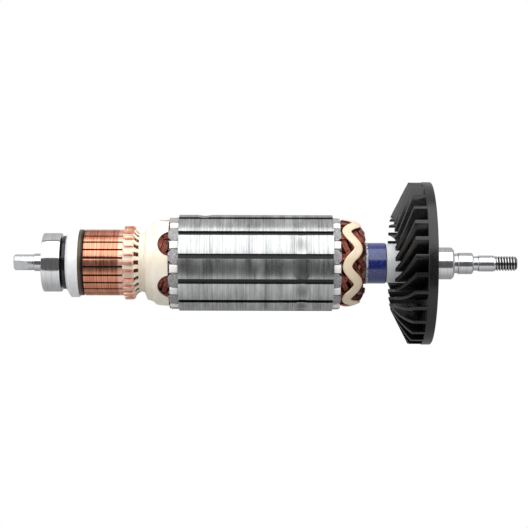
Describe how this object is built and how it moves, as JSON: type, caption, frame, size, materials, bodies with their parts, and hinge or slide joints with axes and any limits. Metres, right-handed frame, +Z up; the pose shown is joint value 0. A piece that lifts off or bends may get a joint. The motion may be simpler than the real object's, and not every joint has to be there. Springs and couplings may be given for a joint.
{
  "type": "motor armature",
  "caption": "Wound rotor of a small universal motor on a stepped shaft, with a hooked commutator, a sealed ball bearing, resin-covered windings, a sleeve and a radial fan.",
  "frame": {"origin": "middle of the drive-end journal, on the shaft axis", "axes": "+X along the shaft towards the threaded drive end, +Z up, camera side -Y"},
  "size_m": [0.1888, 0.061, 0.061],
  "materials": {
    "ground_steel": "ground and polished",
    "bearing_steel": "polished",
    "black_rubber": "satin",
    "black_gloss": "glossy",
    "white_plastic": "satin",
    "phenolic": "satin",
    "bar_copper": "turned",
    "wire_copper": "enamelled wire",
    "cream_resin": "satin",
    "fibre": "matt",
    "slot_paper": "satin",
    "lamination_steel": "ground",
    "tube_fibre": "matt",
    "blue_sleeve": "glossy",
    "fan_plastic": "satin",
    "cage_brass": "stamped"
  },
  "bodies": {
    "rotor": {"shaft": "ground_steel", "bearing_inner_ring": "bearing_steel", "dust_ring": "black_gloss", "insulation_washer": "white_plastic", "commutator_core": "phenolic", "commutator_bar_01": "bar_copper", "commutator_bar_02": "bar_copper", "commutator_bar_03": "bar_copper", "commutator_bar_04": "bar_copper", "commutator_bar_05": "bar_copper", "commutator_bar_06": "bar_copper", "commutator_bar_07": "bar_copper", "commutator_bar_08": "bar_copper", "commutator_bar_09": "bar_copper", "commutator_bar_10": "bar_copper", "commutator_bar_11": "bar_copper", "commutator_bar_12": "bar_copper", "commutator_bar_13": "bar_copper", "commutator_bar_14": "bar_copper", "commutator_bar_15": "bar_copper", "commutator_bar_16": "bar_copper", "commutator_bar_17": "bar_copper", "commutator_bar_18": "bar_copper", "commutator_bar_19": "bar_copper", "commutator_bar_20": "bar_copper", "commutator_bar_21": "bar_copper", "commutator_bar_22": "bar_copper", "commutator_bar_23": "bar_copper", "commutator_bar_24": "bar_copper", "coil_01": "wire_copper", "coil_02": "wire_copper", "coil_03": "wire_copper", "coil_04": "wire_copper", "coil_05": "wire_copper", "coil_06": "wire_copper", "coil_07": "wire_copper", "coil_08": "wire_copper", "coil_09": "wire_copper", "coil_10": "wire_copper", "coil_11": "wire_copper", "coil_12": "wire_copper", "lead_wires": "wire_copper", "comm_end_resin": "cream_resin", "comm_end_insulator": "fibre", "lamination_stack": "lamination_steel", "drive_end_insulator": "fibre", "slot_liners": "slot_paper", "slot_wedges": "slot_paper", "drive_end_resin": "cream_resin", "shaft_insulation": "tube_fibre", "insulation_sleeve": "blue_sleeve", "fan_collar": "white_plastic", "fan": "fan_plastic"},
    "bearing_outer": {"bearing_outer_ring": "bearing_steel", "bearing_seal_outer": "black_rubber", "bearing_seal_inner": "black_rubber"},
    "bearing_cage": {"bearing_cage": "cage_brass", "bearing_balls": "bearing_steel"}
  },
  "joints": [
    {"name": "bearing_outer_spin", "type": "hinge", "parent": "rotor", "child": "bearing_outer", "pos_m": [-0.1455, 0, 0], "axis": [1, 0, 0], "continuous": true},
    {"name": "bearing_cage_spin", "type": "hinge", "parent": "rotor", "child": "bearing_cage", "pos_m": [-0.1455, 0, 0], "axis": [1, 0, 0], "continuous": true}
  ],
  "couplings": [
    {"joint": "bearing_cage_spin", "follows": "bearing_outer_spin", "ratio": 0.6369}
  ]
}
